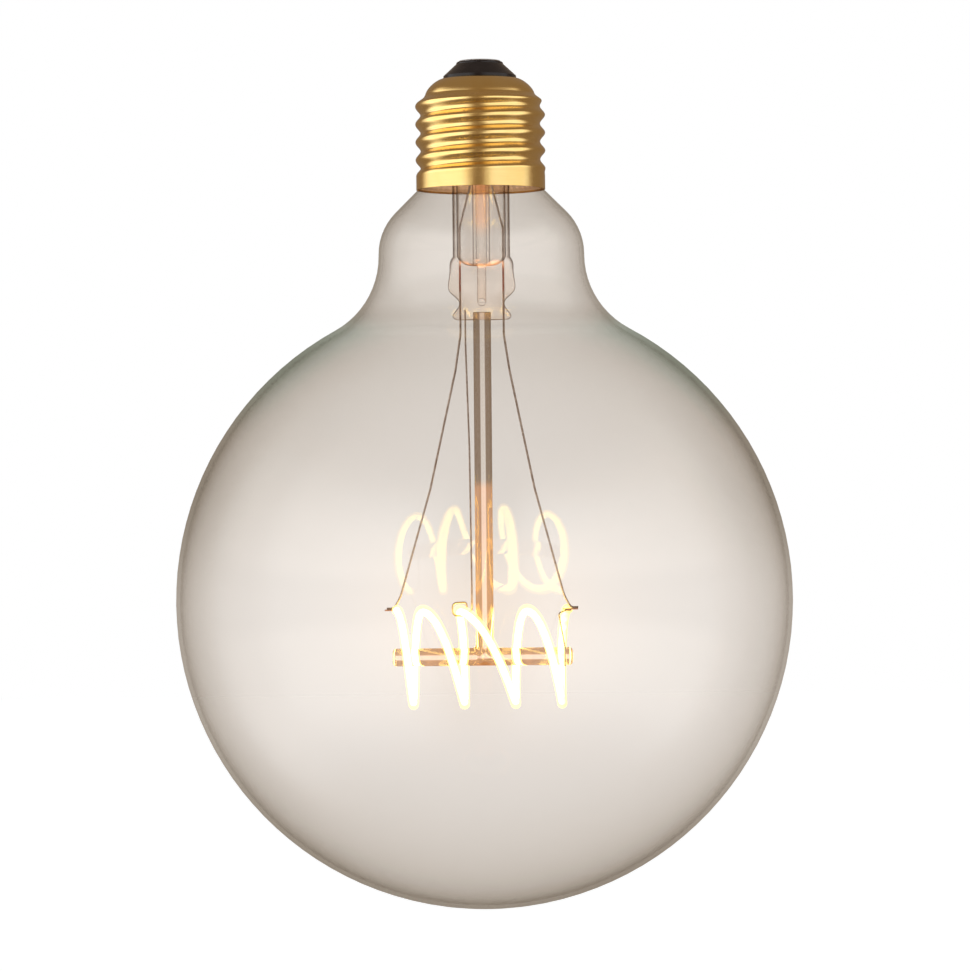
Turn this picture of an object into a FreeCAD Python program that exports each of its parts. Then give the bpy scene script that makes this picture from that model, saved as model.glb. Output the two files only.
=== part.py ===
import FreeCAD, Part
import math
import os
import re

import Sketcher
from FreeCAD import Placement, Rotation, Vector

# A clear globe lamp that hangs from its screw cap, with one LED filament wound round a glass bar.
# Millimetres. The origin is the centre of the centre contact's outer face. +Z points up into the
# lamp holder, X runs along the filament bar and the front of the lamp looks along -Y.

SIZES = {
    # Centre contact and insulator
    "contact_diameter": 8.6,
    "contact_head": 0.5,
    "contact_proud": 0.2,
    "contact_seat_gap": 0.05,
    "shank_diameter": 2.4,
    "shank_bore": 1.2,
    "shank_length": 6.6,
    "insulator_top_diameter": 9.6,
    "insulator_edge_radius": 0.5,
    "insulator_height": 3.4,
    "insulator_ledge": 0.5,
    "insulator_plug_depth": 2.4,
    "insulator_plug_edge": 0.8,
    "insulator_plug_bevel": 0.3,
    # Rolled screw shell
    "shell_length": 22.6,
    "sheet_thickness": 0.3,
    "lip_hole_diameter": 13.8,
    "lip_width": 0.5,
    "shoulder_height": 3.3,
    "shoulder_step": 2.05,
    "thread_diameter": 26.4,
    "thread_depth": 1.05,
    "thread_pitch": 3.63,
    "thread_run_in": 1.6,
    "thread_run_out": 1.4,
    "thread_crest_drop": 7.45,
    "collar_step": 0.1,
    "collar_height": 2.9,
    "fit_gap": 0.01,
    # Blown glass
    "glass_wall": 0.8,
    "globe_diameter": 125.0,
    "globe_shoulder_radius": 17.2,
    "neck_diameter": 41.8,
    "neck_straight": 0.3,
    "neck_bulge_radius": 11.9,
    "throat_gap": 0.55,
    "throat_bend_radius": 2.0,
    "seal_drop": 12.4,
    # Stem
    "flare_diameter": 11.6,
    "flare_wall": 0.8,
    "flare_length": 23.8,
    "floor_depth": 1.8,
    "floor_flat_diameter": 4.6,
    "floor_bend_radius": 3.2,
    "press_length": 12.8,
    "press_width": 13.4,
    "press_thickness": 5.8,
    "press_waist_width": 9.2,
    "press_foot_width": 11.8,
    "press_shoulder": 1.6,
    "press_softening": 0.2,
    "press_foot_taper": 0.6,
    "exhaust_diameter": 3.5,
    "exhaust_bore": 2.2,
    "exhaust_tip_drop": 8.0,
    "channel_diameter": 1.8,
    "port_diameter": 1.5,
    "port_height": 3.5,
    # Rods
    "rod_diameter": 3.6,
    "rod_seat_depth": 1.5,
    "rod_drop": 68.5,
    "bar_overhang": 0.85,
    "bar_end_radius": 0.8,
    # Filament
    "filament_diameter": 1.9,
    "coil_diameter": 19.2,
    "coil_length": 34.9,
    "coil_offset": 0.45,
    "tab_length": 3.0,
    "tab_width": 1.3,
    "tab_thickness": 0.25,
    "tab_bite": 0.4,
    "left_tab_shift": 2.4,
    "right_tab_shift": 1.05,
    # Wires
    "lead_diameter": 0.42,
    "lead_spacing": 8.8,
    "lead_bend_radius": 9.0,
    "outer_lead_bend_radius": 0.5,
    "lead_land_reach": 4.6,
    "lead_land_side": 1.8,
    "lead_hole_forward": 2.0,
    "lead_fan_start": 8.0,
    "lead_fan_end": 18.0,
    "lead_press_exit": 3.0,
    "lead_knee_drop": 10.3,
    "lead_knee_spread": 1.1,
    "lead_bow": 0.85,
    "lead_foot_rise": 2.4,
    "lead_foot_back": 0.8,
    "lead_weld_start": 0.5,
    "lead_weld_end": 2.0,
    "seal_wire_length": 5.2,
    "hook_wire_diameter": 0.35,
    "hook_bend_radius": 0.9,
    "hook_anchor": 2.0,
    "hook_anchor_side": 3.4,
    "hook_anchor_forward": 1.2,
    "hook_press_exit": 5.0,
    "hook_sway_side": 2.8,
    "hook_sway_forward": 0.8,
    "hook_sway_drop": 26.0,
    "hook_rod_gap": 0.6,
    "hook_foot_forward": 0.4,
    "hook_foot_rise": 5.0,
    "hook_under_side": 0.7,
    "hook_side_gap": 0.2,
    "hook_shift": 0.6,
    "hook_slant": 0.1,
    "hook_tail_forward": 0.3,
    "tie_wire_diameter": 0.3,
    "tie_bend_radius": 0.6,
    "tie_start": 0.6,
    "tie_forward": 0.9,
    "tie_swing": 2.0,
    "tie_swing_drop": 0.9,
    "tie_waist": 1.6,
    "tie_waist_forward": 1.4,
    "tie_waist_drop": 3.0,
    "tie_bar_side": 0.8,
    "tie_tail": 0.6,
    "wire_gap": 0.05,
    # Driver in the cap
    "board_edge_gap": 0.3,
    "board_thickness": 1.0,
    "board_hole_diameter": 6.4,
    "pin_diameter": 0.5,
    "pin_length": 0.7,
    "package_standoff": 0.1,
    "leg_thickness": 0.2,
    "leg_foot": 0.6,
    "rectifier_length": 4.7,
    "rectifier_width": 3.8,
    "rectifier_height": 1.7,
    "rectifier_reach": 6.4,
    "chip_length": 4.9,
    "chip_width": 3.9,
    "chip_height": 1.5,
    "chip_reach": 6.0,
    "package_inset": 4.7,
    "capacitor_diameter": 5.0,
    "capacitor_height": 6.5,
    "capacitor_inset": 4.6,
    "capacitor_pin_pitch": 2.0,
    "capacitor_foot_radius": 0.3,
    "capacitor_edge_radius": 0.4,
    "fuse_diameter": 2.3,
    "fuse_length": 5.0,
    "fuse_lift": 0.6,
    "fuse_edge_radius": 0.4,
    "fuse_waist_depth": 0.15,
    "fuse_waist_slope": 0.3,
    "fuse_across": 3.6,
    "fuse_forward": 5.2,
    "live_wire_diameter": 0.6,
    "live_wire_rise": 1.2,
    "live_wire_bend_radius": 1.0,
    "neutral_wire_diameter": 0.48,
    "neutral_wire_bend_radius": 0.5,
    "neutral_wire_start": 7.5,
    "neutral_wire_angle": 50,
    "cement_inset": 0.4,
    "cement_height": 2.3,
}

# Filament advance along +X over each front (falling) and back (rising) half turn, from the left
# end, as shares of the coil's length
COIL_ADVANCES = (0.095, 0.054, 0.244, -0.043, 0.341, 0.069, 0.2, 0.04)
POINTS_PER_HALF_TURN = 8

# How finely the rolled shell's skins are worked out, and how full its shoulder's curve is
STEPS_PER_PITCH = 8
STEPS_AROUND = 24
SHOULDER_STEPS = 6
PLAIN_STEPS = 3
NUDGE = 1e-7
# A cubic skin runs a little inside its control points: these gains bring it back out to size
ROUND_GAIN = 3 / (2 + math.cos(2 * math.pi / STEPS_AROUND))
WAVE_GAIN = 3 / (2 + math.cos(2 * math.pi / STEPS_PER_PITCH))
SHOULDER_HANDLE = 0.35

# Where each cross section of the press lies, as shares of the press's length
PRESS_SHARES = (0, 0.18, 0.36, 0.56, 0.76, 0.92, 1)

# The longest bend at a wire's corner takes this share of the shorter run beside it
BEND_SHARE = 0.45

RECTIFIER_LEGS = 2
RECTIFIER_LEG_PITCH = 2.5
RECTIFIER_LEG_WIDTH = 0.7
CHIP_LEGS = 4
CHIP_LEG_PITCH = 1.27
CHIP_LEG_WIDTH = 0.4

# Widths that follow from other sizes
THREAD_ROOT = "(thread_diameter - 2 * thread_depth)"
SHOULDER = "(thread_diameter - 2 * shoulder_step)"
COLLAR = "(thread_diameter - 2 * collar_step)"
COLLAR_BORE = f"({COLLAR} - 2 * sheet_thickness - 2 * fit_gap)"
THROAT = f"({THREAD_ROOT} - 2 * sheet_thickness - 2 * throat_gap)"
INSULATOR_BASE = "(lip_hole_diameter + 2 * insulator_ledge)"
BOARD = f"({THROAT} - 2 * board_edge_gap)"
PACKAGE_OFFSET = f"({BOARD} / 2 - package_inset)"
CAPACITOR_OFFSET = f"({BOARD} / 2 - capacitor_inset)"

# The coil's ends and second top along the bar
COIL_START = "(-coil_offset - coil_length / 2)"
COIL_END = "(coil_length / 2 - coil_offset)"
SECOND_TOP = f"({COIL_START} + {sum(COIL_ADVANCES[:4])} * coil_length)"

# Heights along the axis, downwards from the contact
INSULATOR_TOP = "(-contact_proud)"
LIP = f"({INSULATOR_TOP} - insulator_height)"
RIM = f"({LIP} - shell_length)"
SEAL = f"({LIP} - seal_drop)"
BOARD_TOP = f"({SEAL} + board_thickness)"
PRESS_TOP = f"({SEAL} - flare_length)"
FLOOR = f"({PRESS_TOP} - floor_depth)"
PRESS_FOOT = f"({PRESS_TOP} - press_length)"
BAR_AXIS = f"({PRESS_FOOT} - rod_drop)"
COIL_TOP = f"({BAR_AXIS} + coil_diameter / 2)"
SEAL_WIRE_FOOT = f"({FLOOR} - seal_wire_length)"
CEMENT_TOP = f"({RIM} + cement_inset + cement_height)"

doc = FreeCAD.newDocument("globe_lamp")
sheet = doc.addObject("Spreadsheet::Sheet", "Sizes")
parts = []
SHELL = {}


def fill_sheet():
    for row, (alias, size) in enumerate(SIZES.items(), start=1):
        sheet.set(f"A{row}", alias)
        sheet.set(f"B{row}", str(size))
        sheet.setAlias(f"B{row}", alias)
    doc.recompute()


def cells(formula):
    """The formula with each size's name, a word with an underscore, pointing at its cell."""
    return re.sub(r"[a-z]+(?:_[a-z]+)+", r"Sizes.\g<0>", formula)


def number(formula):
    return float(sheet.evalExpression(cells(formula)))


def point(stop):
    return Vector(*(number(formula) for formula in stop))


def bind(item, prop, formula):
    item.setExpression(prop, cells(formula))


def finish(item, name):
    """Marks an object as a sub-part of the lamp."""
    item.Label = name
    parts.append(item)
    return item


def new_body(name):
    return doc.addObject("PartDesign::Body", name)


def origin_feature(body, role):
    return next(item for item in body.Origin.OriginFeatures if item.Role == role)


def new_sketch(body, name, plane, offset="0"):
    """A sketch on one of the body's own origin planes, moved along the plane's normal by offset."""
    sketch = body.newObject("Sketcher::SketchObject", name)
    sketch.AttachmentSupport = [(origin_feature(body, plane), "")]
    sketch.MapMode = "FlatFace"
    if offset != "0":
        bind(sketch, "AttachmentOffset.Base.z", offset)
    return sketch


def pin_down(sketch, geometry, end, axis, formula):
    """Ties one coordinate of a vertex to a formula, or to the sketch's axis where it is nought."""
    if formula == "0":
        own_axis = -2 if axis == "x" else -1
        sketch.addConstraint(Sketcher.Constraint("PointOnObject", geometry, end, own_axis))
        return
    kind = "DistanceX" if axis == "x" else "DistanceY"
    index = sketch.addConstraint(Sketcher.Constraint(kind, -1, 1, geometry, end, number(formula)))
    bind(sketch, f"Constraints[{index}]", formula)


def arc_between(start, end, radius):
    """The short arc from start to end; a positive radius bends to the left of the run."""
    chord = end - start
    aside = Vector(-chord.y, chord.x, 0).normalize()
    reach = math.sqrt(max(radius * radius - chord.Length ** 2 / 4, 0))
    centre = (start + end) / 2 + aside * math.copysign(reach, radius)
    first, last = (start, end) if radius > 0 else (end, start)
    angles = [math.atan2(spot.y - centre.y, spot.x - centre.x) for spot in (first, last)]
    return Part.ArcOfCircle(Part.Circle(centre, Vector(0, 0, 1), abs(radius)), *angles)


def draw_outline(sketch, corners):
    """Closes an outline through corners (x, y), or (x, y, radius) where an arc runs to the corner.

    Every corner is tied to its formulas and every arc to its radius, whose sign gives the side.
    """
    spots = [Vector(number(corner[0]), number(corner[1]), 0) for corner in corners]
    runs = []
    for index, corner in enumerate(corners):
        start, end = spots[index - 1], spots[index]
        if len(corner) == 2:
            runs.append((sketch.addGeometry(Part.LineSegment(start, end), False), 1, 2))
            continue
        radius = number(corner[2])
        geometry = sketch.addGeometry(arc_between(start, end, radius), False)
        runs.append((geometry, 1, 2) if radius > 0 else (geometry, 2, 1))
        limit = sketch.addConstraint(Sketcher.Constraint("Radius", geometry, abs(radius)))
        bind(sketch, f"Constraints[{limit}]", f"abs({corner[2]})")
    for index, corner in enumerate(corners):
        geometry, _, end = runs[index]
        following, start, _ = runs[(index + 1) % len(runs)]
        sketch.addConstraint(Sketcher.Constraint("Coincident", geometry, end, following, start))
        pin_down(sketch, geometry, end, "x", corner[0])
        pin_down(sketch, geometry, end, "y", corner[1])


def draw_circle(sketch, x, y, diameter):
    centre = Vector(number(x), number(y), 0)
    circle = Part.Circle(centre, Vector(0, 0, 1), number(diameter) / 2)
    geometry = sketch.addGeometry(circle, False)
    size = sketch.addConstraint(Sketcher.Constraint("Diameter", geometry, number(diameter)))
    bind(sketch, f"Constraints[{size}]", diameter)
    pin_down(sketch, geometry, 3, "x", x)
    pin_down(sketch, geometry, 3, "y", y)


def turned(name, corners):
    """A body turned about the lamp's axis from an outline of (radius, height) corners."""
    body = new_body(name)
    sketch = new_sketch(body, f"{name}_outline", "XZ_Plane")
    draw_outline(sketch, corners)
    turning = body.newObject("PartDesign::Revolution", f"{name}_turning")
    turning.Profile = sketch
    turning.ReferenceAxis = (sketch, ["V_Axis"])
    turning.Angle = 360
    return body


def padded(body, name, sketch, length, symmetric=False):
    pad = body.newObject("PartDesign::Pad", name)
    pad.Profile = sketch
    bind(pad, "Length", length)
    if symmetric:
        pad.SideType = "Symmetric"
    return pad


def cut(name, base, tools):
    """The base with the tools taken out of it one after another."""
    for index, tool in enumerate(tools, start=1):
        result = doc.addObject("Part::Cut", name if index == len(tools) else f"{name}_step_{index}")
        result.Base = base
        result.Tool = tool
        base = result
    return base


def cylinder(name, diameter, length, x="0", y="0", z="0", rotation=Rotation()):
    """A round bar that starts at x, y, z and runs along the rotated +Z axis."""
    bar = doc.addObject("Part::Cylinder", name)
    bar.Placement = Placement(Vector(), rotation)
    bind(bar, "Radius", f"({diameter}) / 2")
    bind(bar, "Height", length)
    bind(bar, "Placement.Base.x", x)
    bind(bar, "Placement.Base.y", y)
    bind(bar, "Placement.Base.z", z)
    return bar


def bent_line(stops, bend):
    """Straight runs through the stops, with each corner rounded to the bend radius where it fits."""
    edges = []
    last = stops[0]
    for before, corner, after in zip(stops, stops[1:], stops[2:]):
        inward = (corner - before).normalize()
        onward = (after - corner).normalize()
        turn = inward.getAngle(onward)
        room = BEND_SHARE * min((corner - before).Length, (after - corner).Length)
        setback = min(bend * math.tan(turn / 2), room)
        start = corner - inward * setback
        end = corner + onward * setback
        middle = corner + (onward - inward).normalize() * setback * math.tan(turn / 4)
        edges.append(Part.LineSegment(last, start).toShape())
        edges.append(Part.Arc(start, middle, end).toShape())
        last = end
    edges.append(Part.LineSegment(last, stops[-1]).toShape())
    return Part.Wire(edges)


def swept(name, line, start, heading, diameter):
    """A round section of the given diameter carried along a line."""
    spine = doc.addObject("Part::Feature", f"{name}_line")
    spine.Shape = line
    section = doc.addObject("Part::Circle", f"{name}_section")
    section.Placement = Placement(start, Rotation(Vector(0, 0, 1), heading))
    bind(section, "Radius", f"{diameter} / 2")
    sweep = doc.addObject("Part::Sweep", name)
    sweep.Sections = [section]
    sweep.Spine = (spine, [f"Edge{index + 1}" for index in range(len(line.Edges))])
    sweep.Solid = True
    sweep.Frenet = False
    return sweep


def bent_wire(name, diameter, bend, stops):
    """A round wire through stops of (x, y, z) formulas."""
    spots = [point(stop) for stop in stops]
    line = bent_line(spots, number(bend))
    return swept(name, line, spots[0], spots[1] - spots[0], diameter)


# Centre contact: a headed eyelet pressed into the insulator
def make_centre_contact():
    head = "contact_diameter / 2"
    shank = "shank_diameter / 2"
    bore = "shank_bore / 2"
    return finish(
        turned(
            "centre_contact",
            [
                ("0", "0"),
                (f"{head} - contact_head / 2", "0"),
                (head, "-contact_head / 2", "-contact_head / 2"),
                (head, "-contact_head"),
                (shank, "-contact_head"),
                (shank, "-shank_length"),
                (bore, "-shank_length"),
                (bore, "-2 * contact_head"),
                ("0", "-2 * contact_head"),
            ],
        ),
        "centre_contact",
    )


# Insulator: a moulded ring whose waist sits in the shell's hole
def make_insulator():
    recess = "contact_diameter / 2 + contact_seat_gap"
    top = "insulator_top_diameter / 2"
    base = f"{INSULATOR_BASE} / 2"
    waist = "lip_hole_diameter / 2 - contact_seat_gap"
    under_lip = f"{LIP} - sheet_thickness"
    foot = f"{LIP} - insulator_plug_depth"
    return finish(
        turned(
            "insulator",
            [
                ("shank_diameter / 2", "-contact_head"),
                (recess, "-contact_head"),
                (recess, INSULATOR_TOP),
                (top, f"{INSULATOR_TOP} - insulator_edge_radius", "-insulator_edge_radius"),
                (base, f"{LIP} + insulator_edge_radius"),
                (base, LIP),
                (waist, LIP),
                (waist, under_lip),
                (f"{base} - insulator_plug_bevel", under_lip),
                (base, f"{under_lip} - insulator_plug_bevel"),
                (base, f"{foot} + insulator_plug_edge"),
                (f"{base} - insulator_plug_edge", foot, "-insulator_plug_edge"),
                ("shank_diameter / 2", foot),
            ],
        ),
        "insulator",
    )


def smooth(share):
    """Eases from 0 to 1 with no slope at either end."""
    held = min(max(share, 0.0), 1.0)
    return held * held * (3 - 2 * held)


def shoulder_curve(share):
    """The domed shoulder as a curve from flat to upright: shares of its width and of its fall."""
    rest = 1 - share
    early = 3 * share * rest * rest
    late = 3 * share * share * rest
    end = share ** 3
    return SHOULDER_HANDLE * early + late + end, (1 - SHOULDER_HANDLE) * late + end


def shell_outline(zone, share, turn):
    """Radius and height of the shell's outer skin, at a share of a zone's length and at an angle."""
    if zone == "lip":
        return SHELL["lip"] + (SHELL["flat"] - SHELL["lip"]) * share, SHELL["lip_height"]
    if zone == "shoulder":
        across, down = shoulder_curve(share)
        radius = SHELL["flat"] + (SHELL["shoulder"] - SHELL["flat"]) * across
        return radius, SHELL["lip_height"] + (SHELL["neck_height"] - SHELL["lip_height"]) * down
    if zone == "collar":
        fall = (SHELL["rim_height"] - SHELL["collar_top"]) * share
        return SHELL["collar"], SHELL["collar_top"] + fall
    height = SHELL["neck_height"] + (SHELL["collar_top"] - SHELL["neck_height"]) * share
    middle = (SHELL["crest"] + SHELL["root"]) / 2
    depth = (SHELL["crest"] - SHELL["root"]) / 2 * WAVE_GAIN
    wave = math.cos(2 * math.pi * (height - SHELL["first_crest"]) / SHELL["pitch"] - turn)
    run_in = smooth((SHELL["neck_height"] - height) / SHELL["run_in"])
    run_out = smooth((height - SHELL["collar_top"]) / SHELL["run_out"])
    above = SHELL["shoulder"] + (middle + depth * wave - SHELL["shoulder"]) * run_in
    return SHELL["collar"] + (above - SHELL["collar"]) * run_out, height


def read_shell_sizes():
    """The numbers that the shell's skins are worked out from."""
    SHELL["lip"] = number("lip_hole_diameter / 2")
    SHELL["flat"] = number("lip_hole_diameter / 2 + lip_width")
    SHELL["shoulder"] = number(f"{SHOULDER} / 2")
    SHELL["lip_height"] = number(LIP)
    SHELL["neck_height"] = number(f"{LIP} - shoulder_height")
    SHELL["rim_height"] = number(RIM)
    SHELL["collar_top"] = number(f"{RIM} + collar_height")
    SHELL["collar"] = number(f"{COLLAR} / 2")
    SHELL["crest"] = number("thread_diameter / 2")
    SHELL["root"] = number(f"{THREAD_ROOT} / 2")
    SHELL["pitch"] = number("thread_pitch")
    SHELL["first_crest"] = number(f"{LIP} - thread_crest_drop")
    SHELL["run_in"] = number("thread_run_in")
    SHELL["run_out"] = number("thread_run_out")


def skin_pole(zone, share, turn, inset):
    """A control point of a skin of the shell, inwards by inset along the outline's normal."""
    radius, height = shell_outline(zone, share, turn)
    ahead = shell_outline(zone, min(share + NUDGE, 1), turn)
    behind = shell_outline(zone, max(share - NUDGE, 0), turn)
    slope = Vector(ahead[0] - behind[0], ahead[1] - behind[1], 0).normalize()
    radius = (radius + inset * slope.y) * ROUND_GAIN
    height -= inset * slope.x
    return Vector(radius * math.cos(turn), radius * math.sin(turn), height)


def round_face(rows, degree):
    """A smooth face that closes on itself round the axis, from rows of control points down it."""
    around_knots = list(range(STEPS_AROUND + 1))
    along_knots = list(range(len(rows) - degree + 1))
    ends = degree + 1
    surface = Part.BSplineSurface()
    surface.buildFromPolesMultsKnots(
        [list(column) for column in zip(*rows)],
        [1] * len(around_knots),
        [ends] + [1] * (len(along_knots) - 2) + [ends],
        around_knots,
        along_knots,
        True,
        False,
        3,
        degree,
    )
    return surface.toShape()


# Screw shell: thin sheet with the E27 thread rolled into it, the same wave inside and out
def make_screw_shell():
    read_shell_sizes()
    threaded = SHELL["neck_height"] - SHELL["collar_top"]
    zones = {
        "lip": PLAIN_STEPS,
        "shoulder": SHOULDER_STEPS,
        "thread": round(STEPS_PER_PITCH * threaded / SHELL["pitch"]),
        "collar": PLAIN_STEPS,
    }
    turns = [2 * math.pi * around / STEPS_AROUND for around in range(STEPS_AROUND)]
    faces = []
    lips = []
    rims = []
    for inset in (0.0, number("sheet_thickness")):
        seam = []
        for zone, steps in zones.items():
            rows = [
                [skin_pole(zone, step / steps, turn, inset) for turn in turns]
                for step in range(steps + 1)
            ]
            if seam:
                rows[0] = seam
            else:
                lips.append(rows[0])
            seam = rows[-1]
            faces.append(round_face(rows, 3))
        rims.append(seam)
    faces += [round_face(lips, 1), round_face(rims, 1)]
    shell = Part.Shell(faces)
    shell.sewShape()
    solid = Part.Solid(shell)
    if solid.Volume < 0:
        solid.reverse()
    feature = doc.addObject("Part::Feature", "screw_shell")
    feature.Shape = solid
    return finish(feature, "screw_shell")


def glass_outline(inset):
    """Corners of the blown glass from the sealed edge to the pole, inside the outer skin by inset."""
    slope_sum = f"({COLLAR_BORE} / 2 + {RIM})"
    throat = f"{THROAT} / 2"
    neck = "neck_diameter / 2"
    throat_bend = f"({slope_sum} - {throat} + (sqrt(2) - 1) * throat_bend_radius)"
    bulge = f"({slope_sum} - {neck} - (sqrt(2) - 1) * neck_bulge_radius)"
    waist = f"({bulge} - neck_straight)"
    span = "(globe_diameter / 2 + globe_shoulder_radius)"
    aside = f"({neck} + globe_shoulder_radius)"
    drop = f"sqrt({span} * {span} - {aside} * {aside})"
    centre = f"({waist} - {drop})"
    throat_in = f"(throat_bend_radius + {inset})"
    bulge_in = f"(neck_bulge_radius - {inset})"
    globe_in = f"(globe_diameter / 2 - {inset})"
    return [
        (f"{throat} - {inset}", SEAL),
        (f"{throat} - {inset}", throat_bend),
        (
            f"{throat} + throat_bend_radius - {throat_in} / sqrt(2)",
            f"{throat_bend} - {throat_in} / sqrt(2)",
            throat_in,
        ),
        (
            f"{neck} - neck_bulge_radius + {bulge_in} / sqrt(2)",
            f"{bulge} + {bulge_in} / sqrt(2)",
        ),
        (f"{neck} - {inset}", bulge, f"-{bulge_in}"),
        (f"{neck} - {inset}", waist),
        (
            f"{globe_in} * {aside} / {span}",
            f"{centre} + {globe_in} * {drop} / {span}",
            f"globe_shoulder_radius + {inset}",
        ),
        ("0", f"{centre} - {globe_in}", f"-{globe_in}"),
    ]


# Glass envelope: blown outside, then hollowed to the wall's thickness
def make_glass_envelope():
    body = turned("glass_envelope", glass_outline("0") + [("0", SEAL)])
    hollow = new_sketch(body, "hollow_outline", "XZ_Plane")
    draw_outline(hollow, glass_outline("glass_wall") + [("0", SEAL)])
    groove = body.newObject("PartDesign::Groove", "hollow")
    groove.Profile = hollow
    groove.ReferenceAxis = (hollow, ["V_Axis"])
    groove.Angle = 360
    return finish(body, "glass_envelope")


# Stem: a trumpet-ended tube whose lower end is softened and pressed flat round the wires
def make_stem_flare(wires):
    rim = f"{THROAT} / 2 - glass_wall"
    tube = "flare_diameter / 2"
    bore = f"({tube} - flare_wall)"
    reach = f"({rim} - {tube})"
    flare = turned(
        "flare_tube",
        [
            (rim, SEAL, f"-({reach} + flare_wall)"),
            (rim, f"{SEAL} - flare_wall"),
            (tube, f"{SEAL} - flare_wall - {reach}", reach),
            (tube, PRESS_TOP),
            (bore, PRESS_TOP),
            (bore, f"{SEAL} - flare_wall - {reach}"),
        ],
    )
    wide = "press_width / 2"
    thick = "press_thickness / 2"
    foot = "press_foot_width / 2"
    sections = (
        (tube, tube),
        (f"{wide} - press_softening", f"{thick} + press_shoulder"),
        (wide, f"{thick} + press_softening"),
        (f"{wide} - press_softening", thick),
        ("press_waist_width / 2", f"{thick} - press_softening"),
        (foot, f"{thick} - press_softening"),
        (f"{foot} - press_foot_taper", f"{thick} - press_foot_taper"),
    )
    rings = []
    for (half_width, half_thickness), share in zip(sections, PRESS_SHARES):
        ring = doc.addObject("Part::Ellipse", f"press_section_{len(rings) + 1}")
        bind(ring, "MajorRadius", half_width)
        bind(ring, "MinorRadius", half_thickness)
        bind(ring, "Placement.Base.z", f"{PRESS_TOP} - {share} * press_length")
        rings.append(ring)
    press = doc.addObject("Part::Loft", "press")
    press.Sections = rings
    press.Solid = True
    press.Ruled = False
    glass = doc.addObject("Part::Fuse", "stem_glass")
    glass.Base = flare
    glass.Tool = press
    floor = turned(
        "stem_floor",
        [
            ("0", PRESS_TOP),
            ("0", FLOOR),
            ("floor_flat_diameter / 2", FLOOR),
            (bore, PRESS_TOP, "floor_bend_radius"),
        ],
    )
    port = f"({PRESS_FOOT} + port_height)"
    channel = cylinder("channel", "channel_diameter", f"{FLOOR} - {port}", z=port)
    forward = Rotation(Vector(1, 0, 0), 90)
    opening = cylinder("port", "port_diameter", "press_thickness", z=port, rotation=forward)
    rod_seat = cylinder("rod_seat", "rod_diameter", "rod_seat_depth", z=PRESS_FOOT)
    tools = [floor, channel, opening, rod_seat] + wires
    return finish(cut("stem_flare", glass, tools), "stem_flare")


# Exhaust tube: stands on the flat floor of the stem, its upper end melted shut
def make_exhaust_tube():
    outer = "exhaust_diameter / 2"
    bore = "exhaust_bore / 2"
    wall = f"({outer} - {bore})"
    top = f"({LIP} - exhaust_tip_drop)"
    return finish(
        turned(
            "exhaust_tube",
            [
                (outer, FLOOR),
                (outer, f"{top} - {outer}"),
                ("0", top, outer),
                ("0", f"{top} - {wall}"),
                (bore, f"{top} - {wall} - {bore}", f"-{bore}"),
                (bore, FLOOR),
            ],
        ),
        "exhaust_tube",
    )


# Cross rod: a short fire-polished glass bar
def make_cross_rod():
    body = new_body("cross_rod")
    sketch = new_sketch(body, "bar_section", "YZ_Plane", "-coil_offset")
    draw_circle(sketch, "0", BAR_AXIS, "rod_diameter")
    pad = padded(body, "bar", sketch, "coil_length + 2 * bar_overhang", symmetric=True)
    doc.recompute()
    rims = [
        f"Edge{index + 1}"
        for index, edge in enumerate(pad.Shape.Edges)
        if edge.Curve.TypeId == "Part::GeomCircle"
    ]
    polish = body.newObject("PartDesign::Fillet", "fire_polish")
    polish.Base = (pad, rims)
    bind(polish, "Radius", "bar_end_radius")
    return finish(body, "cross_rod")


# Support rod: seated in the press foot, its lower end melted onto the bar
def make_support_rod():
    rod = cylinder("rod_blank", "rod_diameter", "rod_drop + rod_seat_depth", z=BAR_AXIS)
    sideways = Rotation(Vector(0, 1, 0), 90)
    saddle = cylinder(
        "rod_saddle", "rod_diameter", "2 * rod_diameter", x="-rod_diameter", z=BAR_AXIS,
        rotation=sideways,
    )
    return finish(cut("support_rod", rod, [saddle]), "support_rod")


def coil_points():
    """Corners of the filament's line: most of each half turn's advance comes near the top."""
    step_angle = math.pi / POINTS_PER_HALF_TURN
    corner_radius = number("coil_diameter / 2") / math.cos(step_angle / 2)
    centre = number(BAR_AXIS)
    spots = []
    along = number(COIL_START)
    for half, share_of_coil in enumerate(COIL_ADVANCES):
        advance = share_of_coil * number("coil_length")
        for step in range(POINTS_PER_HALF_TURN):
            share = (step + 0.5) / POINTS_PER_HALF_TURN
            quarter = math.radians(90 * share)
            front = half % 2 == 0
            spread = math.sin(quarter) if front else (1 - math.cos(quarter)) ** 2
            turn = math.pi * (half + share)
            across = -corner_radius * math.sin(turn)
            height = centre + corner_radius * math.cos(turn)
            spots.append(Vector(along + advance * spread, across, height))
        along += advance
    top = centre + corner_radius * math.cos(step_angle / 2)
    return [Vector(number(COIL_START), 0, top)] + spots + [Vector(along, 0, top)]


# LED filament: one coated flexible strip wound four times round the bar
def make_led_filament():
    spots = coil_points()
    line = bent_line(spots, number("coil_diameter"))
    filament = swept("led_filament", line, spots[0], spots[1] - spots[0], "filament_diameter")
    return finish(filament, "led_filament")


# Filament tabs: flat copper ends, crimped on the coated strip and cut to its end face
def make_filament_tab(side, filament, x, y, shift):
    blank = doc.addObject("Part::Box", f"tab_blank_{side}")
    bind(blank, "Length", "tab_length")
    bind(blank, "Width", "tab_width + tab_bite")
    bind(blank, "Height", "tab_thickness")
    bind(blank, "Placement.Base.x", f"{x} - {shift}")
    bind(blank, "Placement.Base.y", y)
    bind(blank, "Placement.Base.z", f"{COIL_TOP} - tab_thickness / 2")
    return finish(cut(f"filament_tab_{side}", blank, [filament]), f"filament_tab_{side}")


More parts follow.
